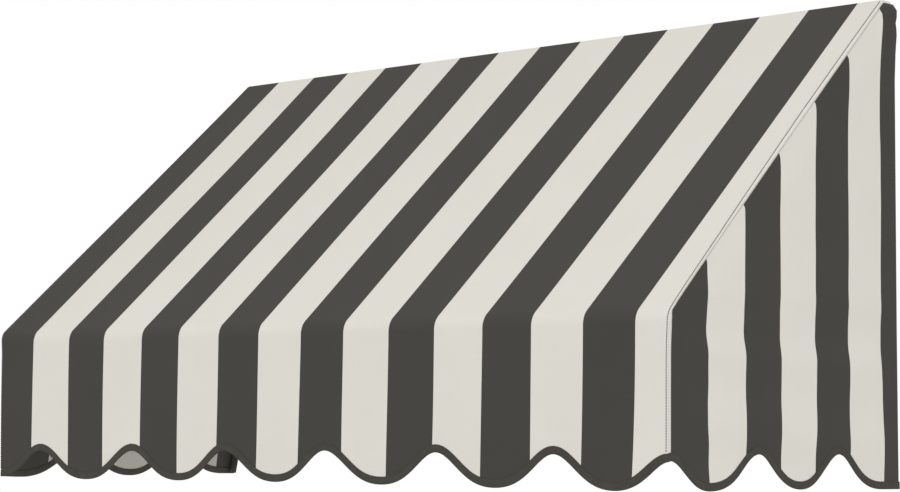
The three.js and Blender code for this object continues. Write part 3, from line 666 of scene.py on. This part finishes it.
def edge_path(step=4.0):
    """Stations along the edge from the left wall to the right wall: plan point, outward normal, height, lean of the cloth."""
    out = []
    R = 2.2
    left = -HX - FLARE[-1] + float(hang_in(-HX, TROUGH))
    for y in np.arange(float(rear_y(TROUGH)) - 0.3, -PROJ + R, -step):
        moved = y + float(from_wall(y, TROUGH + 20.0, -1))
        z = float(edge_z(LEFT_TURNS, [moved])[0])
        x0, x1 = float(panel_x(y, z + 1, -1)), float(panel_x(y, z + 11, -1))
        out.append((-x0, moved, -1.0, 0.0, z, (x1 - x0) / 10))
    for a in np.linspace(0, math.pi / 2, 6):
        out.append((left + R - R * math.cos(a), -PROJ + R - R * math.sin(a), -math.cos(a), -math.sin(a), TROUGH, 0.0))
    for x in np.linspace(left + R + step, HX + FLARE[1] - R - step, 368):
        z = float(edge_z(FRONT_TURNS, [x])[0])
        d0, d1 = (float(drape_front(np.array([x]), np.array([z + h]))[0]) for h in (1, 11))
        out.append((x, -PROJ - d0, 0.0, -1.0, z, (d1 - d0) / 10))
    z0, z1 = float(edge_z(FRONT_TURNS, [HX + FLARE[1] - R])[0]), float(edge_z(RIGHT_TURNS, [-PROJ + R])[0])
    for a in np.linspace(0, math.pi / 2, 6):
        out.append((HX + FLARE[1] - R + R * math.sin(a), -PROJ + R - R * math.cos(a), math.sin(a), -math.cos(a), z0 + (z1 - z0) * 2 * a / math.pi, 0.0))
    for y in np.linspace(-PROJ + R + step, float(rear_y(TROUGH)) - 0.3, 161):
        z = float(edge_z(RIGHT_TURNS, [y])[0])
        lap = HX - PANEL_X if y < -PROJ + LAP else (HX - PANEL_X) * max(0.0, 1 - (y + PROJ - LAP) / 6)
        x0, x1 = float(panel_x(y, z + 1, 1)), float(panel_x(y, z + 11, 1))
        out.append((lap + x0, y, 1.0, 0.0, z, (x1 - x0) / 10))
    return np.array(out)


E = edge_path()
plan = E[:, :2]
ds = np.linalg.norm(np.diff(plan, axis=0), axis=1)
s_plan = np.concatenate([[0], np.cumsum(ds)])
dz = np.gradient(E[:, 4], s_plan)
tang = np.gradient(plan, s_plan, axis=0)
tang /= np.maximum(np.linalg.norm(tang, axis=1, keepdims=True), 1e-9)
ln = np.sqrt(1 + dz ** 2)
M = np.column_stack([-dz[:, None] * tang, np.ones(len(E))]) / ln[:, None]       # up, across the tape
Nrm = np.column_stack([E[:, 2:4], np.zeros(len(E))])
M = M + (E[:, 5] * M[:, 2])[:, None] * Nrm
M /= np.linalg.norm(M, axis=1, keepdims=True)
C = np.column_stack([plan, E[:, 4]])
arc_s = np.concatenate([[0], np.cumsum(np.linalg.norm(np.diff(C, axis=0), axis=1))])
# section of the tape as (across, out): thin, with a rounded fold at the bottom and turned-in top edges
sec = [(BIND, 0.35), (BIND - 0.5, 0.85), (BIND * 0.55, 0.95), (2.0, 1.0), (0.6, 0.80), (0.0, 0.05),
       (0.0, -0.80), (0.6, -1.60), (2.0, -1.80), (BIND * 0.55, -1.75), (BIND - 0.5, -1.65), (BIND, -1.15),
       (BIND - 0.3, -0.95), (BIND * 0.55, -1.0), (2.0, -1.05), (1.3, -0.80), (1.05, -0.35), (1.3, 0.1), (2.0, 0.25), (BIND * 0.55, 0.2), (BIND - 0.3, 0.18)]
sec = np.array(sec)
# both ends of the tape are turned under, so the outer layer is thicker there
turned = smooth((7.5 - np.minimum(arc_s, arc_s[-1] - arc_s)) / 2.5)
out_by = np.repeat(sec[None, :, 1], len(E), 0)
out_by[:, :5] += 1.5 * turned[:, None]
# on the sides the tape sits a little deeper where the edge is steep
last_rise = smooth((E[:, 0] - HX + 100.0) / 50.0) * (1 - np.abs(E[:, 2]))
deep = 1 + (0.13 * np.abs(E[:, 2]) + 0.28 * last_rise) * dz ** 2 / (1 + dz ** 2)
B = C[:, None, :] + (sec[None, :, 0] * deep[:, None])[:, :, None] * M[:, None, :] + out_by[:, :, None] * Nrm[:, None, :]
ns, nk = B.shape[:2]
seclen = np.concatenate([[0], np.cumsum(np.linalg.norm(np.diff(sec, axis=0), axis=1))])
BU = np.zeros((ns, nk, 2))
BU[..., 0] = arc_s[:, None]
BU[..., 1] = seclen[None, :]
idx = np.arange(ns * nk).reshape(ns, nk)
nx = np.roll(idx, -1, axis=1)
bf = np.stack([idx[:-1], nx[:-1], nx[1:], idx[1:]], -1).reshape(-1, 4)
faces = [list(f) for f in bf] + [list(idx[0][::-1]), list(idx[-1])]
# the tape's inner leg takes the underside tape copy, lightened as painted fill light
inner = np.isin(np.arange(len(bf)) % nk, range(6, 12)).astype(int)          # the leg on the inside of the cloth
binding = make("binding_tape", B.reshape(-1, 3), faces, [TAPE, TAPE_IN_PAINTED_FILL], np.append(inner, [0, 0]), BU.reshape(-1, 2))
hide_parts("scallop_binding")
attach(binding, "root")


# ---- stitching -------------------------------------------------------------------------------
def stitches(name, line, normals, mat, pitch=4.2, length=3.3, r=0.38, sink=0.18):
    """Short raised stitches along a line of points; each dips into the cloth at both ends."""
    line, normals = np.asarray(line, float), np.asarray(normals, float)
    s = np.concatenate([[0], np.cumsum(np.linalg.norm(np.diff(line, axis=0), axis=1))])
    n = int(s[-1] / pitch)
    verts, faces = [], []
    ring = np.array([(math.cos(t), math.sin(t)) for t in np.linspace(0, 2 * math.pi, 6)[:-1]])
    for i in range(n):
        c0 = (i + 0.5) * pitch
        pts = []
        for k, (f, h, w) in enumerate(((-0.5, -0.5, 0.45), (-0.25, 0.75, 1.0), (0.25, 0.75, 1.0), (0.5, -0.5, 0.45))):
            q = c0 + f * length
            p = np.array([np.interp(q, s, line[:, j]) for j in range(3)])
            nn = np.array([np.interp(q, s, normals[:, j]) for j in range(3)])
            nn /= np.linalg.norm(nn)
            pts.append((p + nn * (h * r - sink), nn, w))
        t = pts[-1][0] - pts[0][0]
        t /= np.linalg.norm(t)
        base = len(verts)
        for p, nn, w in pts:
            b = np.cross(t, nn)
            for c, sn in ring:
                verts.append(p + r * w * (c * b + sn * nn))
        for k in range(3):
            for j in range(5):
                a, b = base + 5 * k + j, base + 5 * k + (j + 1) % 5
                faces.append((a, b, b + 5, a + 5))
        faces.append(tuple(base + j for j in range(4, -1, -1)))
        faces.append(tuple(base + 15 + j for j in range(5)))
    o = make(name, np.array(verts), faces, [mat])
    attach(o, "root")
    return o


def lap_line(side, row):
    """A line of sewing on the lapped edge: on the fold itself, or inside the lap's free edge."""
    z0 = (TROUGH if side < 0 else CORNER_Z) + BIND + 2
    nd = 30
    prof = np.vstack([[(-PROJ, z, -1.0, 0.0) for z in np.linspace(z0, bend[0][1], nd)[:-1]], upper[:len(bend) + 64]])
    m = len(prof)
    v, on = slope_v(m, nd - 1)
    w = np.concatenate([np.full(nd - 1, LAP + 0.7), BEND_LAP, np.full(m, LAP_SLOPE)])[:m]
    L, N = np.zeros((m, 3)), np.zeros((m, 3))
    if row == "fold":
        # on the corner down the drop, then running in on to the slope towards the head
        out = -0.5 - np.interp(v, [0, 0.22, 0.6, 0.85, 1.0], [0, 0.7, 3.9, 3.3, 2.3])
        a = np.arcsin(np.clip((out + 2.0) / 2.0, 0, 1))
        depth = 2.0 * (1 - np.cos(a))
        N[:, 0], N[:, 1:] = side * np.sin(a), prof[:, 2:4] * np.cos(a)[:, None]
    else:
        out, depth = -0.10, np.where(np.arange(m) < nd - 1, 5.6, w - 1.1)
        N[:, 0] = side
    L[:, 0] = side * (HX + out + flare(prof[:, 0], side))
    if side > 0:
        L[:, 0] += shoulder(prof[:, 0], prof[:, 1])
    L[:, 1:] = prof[:, :2] - prof[:, 2:4] * (depth + on * sag_slope(np.full(m, side * HX), v))[:, None]
    L[:, 0] += hang_in(side * HX, L[:, 2])
    if side > 0:
        L[:, 2] += 1.2 * smooth(v) * on * np.clip(prof[:, 3], 0, 1)
    return L, N, nd - 1 + len(bend)


for side, tag in ((1, "right"), (-1, "left")):
    L, Nn, first = lap_line(side, "fold")
    stitches(f"stitch_fold_{tag}", L, Nn, THREAD_D, pitch=3.9, length=3.5, r=0.66, sink=0.08)
    # the row inside the lap is drawn in deeper down the corner than up the slope
    L, Nn, first = lap_line(side, "lap")
    stitches(f"stitch_lap_slope_{tag}", L[first:], Nn[first:], THREAD, pitch=3.9, length=2.9, r=0.45, sink=0.08)
    stitches(f"stitch_lap_corner_{tag}", L[:first], Nn[:first], THREAD, pitch=3.9, length=2.9, r=0.18, sink=0.05)
top_line = C + (deep * BIND - 1.6)[:, None] * M + 0.92 * Nrm
stitches("stitch_binding", top_line, Nrm, THREAD_D, pitch=4.0, length=3.2, r=0.32)

# ---- frame materials --------------------------------------------------------------------------
TUBE_X = metal("tube_along_x", (0.62, 0.63, 0.64), 0.38, (3, 240, 240))
TUBE_Y = metal("tube_along_y", (0.62, 0.63, 0.64), 0.38, (240, 3, 240))
TUBE_Z = metal("tube_along_z", (0.62, 0.63, 0.64), 0.38, (240, 240, 3))
STRIP = metal("flat_bar", (0.56, 0.57, 0.58), 0.42, (3, 260, 260))
PLATE = coated("powder_coat", (0.155, 0.160, 0.168), 0.48, 700.0, 0.06)
PLUG = coated("moulded_plastic", (0.018, 0.018, 0.018), 0.55, 420.0, 0.05)
SCREW = metal("zinc_plate", (0.50, 0.51, 0.50), 0.34, (160, 160, 160), fleck=0.16)
for n, o in NODES.items():
    if n.startswith("screw_"):
        m = SCREW
    elif "plug" in n:
        m = PLUG
    elif n.startswith("clamp_strip"):
        m = STRIP if "head" in n else TUBE_Z
    elif n.startswith(("gusset", "cleat", "wall_angle")):
        m = PLATE
    elif n in ("head_bar", "front_bar"):
        m = TUBE_X
    elif n.startswith(("rafter", "side_arm")):
        m = TUBE_Y
    elif n.startswith("upright"):
        m = TUBE_Z
    else:
        continue
    o.data.materials.clear()
    o.data.materials.append(m)

# ---- floor, light, camera --------------------------------------------------------------------
fm, nt, b = new_mat("floor_pale")
g = nt.nodes.new("ShaderNodeTexCoord")
nt.links.new(ramp(nt, noise(nt, g.outputs["Object"], 3.0, 3.0), (0.66, 0.66, 0.66), (0.70, 0.70, 0.70), 0.3, 0.7), b.inputs["Base Color"])
b.inputs["Roughness"].default_value = 0.9
floor_me = bpy.data.meshes.new("floor")
FZ = -7.20
floor_me.from_pydata([(-12, -12.5, FZ), (12, -12.5, FZ), (12, 11.5, FZ), (-12, 11.5, FZ)], [], [(0, 1, 2, 3)])
floor_me.materials.append(fm)
floor = bpy.data.objects.new("floor", floor_me)
bpy.context.scene.collection.objects.link(floor)

world = bpy.data.worlds.new("studio")
world.use_nodes = True
wt = world.node_tree
bg = wt.nodes["Background"]
tc = wt.nodes.new("ShaderNodeTexCoord")
sp = wt.nodes.new("ShaderNodeSeparateXYZ")
wt.links.new(tc.outputs["Generated"], sp.inputs[0])
cr = wt.nodes.new("ShaderNodeValToRGB")          # dim below, white at the horizon, a little dimmer overhead
el = cr.color_ramp.elements
el[0].position, el[1].position = 0.0, 1.0
el[0].color = (0.42, 0.42, 0.42, 1)
el[1].color = (0.822, 0.822, 0.822, 1)
for pos, val in ((0.36, 0.42), (0.47, 1.0), (0.62, 1.0), (0.86, 0.822)):
    e = el.new(pos)
    e.color = (val, val, val, 1)
wt.links.new(math_node(wt, "MULTIPLY_ADD", sp.outputs[2], 0.5, c=0.5), cr.inputs[0])
# dimmer from behind on the right, where the wall would stand
back_dir = math_node(wt, "ADD", math_node(wt, "MULTIPLY", sp.outputs[0], 0.62), math_node(wt, "MULTIPLY", sp.outputs[1], 0.78))
dim = math_node(wt, "SUBTRACT", 1.0, math_node(wt, "MULTIPLY", math_node(wt, "MULTIPLY_ADD", back_dir, 2.2, c=-0.77), 0.30, True))
mx = wt.nodes.new("ShaderNodeVectorMath")
mx.operation = "SCALE"
wt.links.new(cr.outputs[0], mx.inputs[0])
wt.links.new(dim, mx.inputs["Scale"])
wt.links.new(mx.outputs[0], bg.inputs[0])
bg.inputs[1].default_value = 1.0
bpy.context.scene.world = world


def area_light(name, loc, target, size, power):
    li = bpy.data.lights.new(name, "AREA")
    li.shape = "SQUARE"
    li.size = size
    li.energy = power
    o = bpy.data.objects.new(name, li)
    o.location = loc
    o.rotation_mode = "QUATERNION"
    o.rotation_quaternion = (Vector(target) - Vector(loc)).to_track_quat("-Z", "Y")
    bpy.context.scene.collection.objects.link(o)
    return o


area_light("key_front", (-0.9, -4.6, 0.1), (0, -0.5, -0.45), 3.2, 35.5)
area_light("key_side", (4.7, -1.5, 0.0), (0.6, -0.4, -0.4), 3.0, 63)

cam_d = bpy.data.cameras.new("camera")
cam = bpy.data.objects.new("camera", cam_d)
bpy.context.scene.collection.objects.link(cam)
F_PX, YAW, PITCH, ROLL = 2337.284, -0.71752, 0.08676, 0.00901
fw = Vector((math.sin(YAW) * math.cos(PITCH), math.cos(YAW) * math.cos(PITCH), math.sin(PITCH)))
rt = Vector((math.cos(YAW), -math.sin(YAW), 0))
up = rt.cross(fw)
r2 = rt * math.cos(ROLL) + up * math.sin(ROLL)
u2 = up * math.cos(ROLL) - rt * math.sin(ROLL)
loc = Vector((2.3108 * WIDTH - HX, -2.24968 * WIDTH, -0.13187 * WIDTH + EAVE_Z)) * MM
mw = Matrix.Identity(4)
for i in range(3):
    mw[i][0], mw[i][1], mw[i][2], mw[i][3] = r2[i], u2[i], -fw[i], loc[i]
cam.matrix_world = mw
cam_d.sensor_fit = "HORIZONTAL"
cam_d.sensor_width = 36.0
cam_d.lens = F_PX * 36.0 / 900.0
cam_d.clip_start, cam_d.clip_end = 0.05, 100.0
scene = bpy.context.scene
scene.camera = cam
scene.view_settings.view_transform = "Standard"
scene.view_settings.look = "None"
scene.view_settings.exposure = 0.0
scene.view_settings.gamma = 1.0
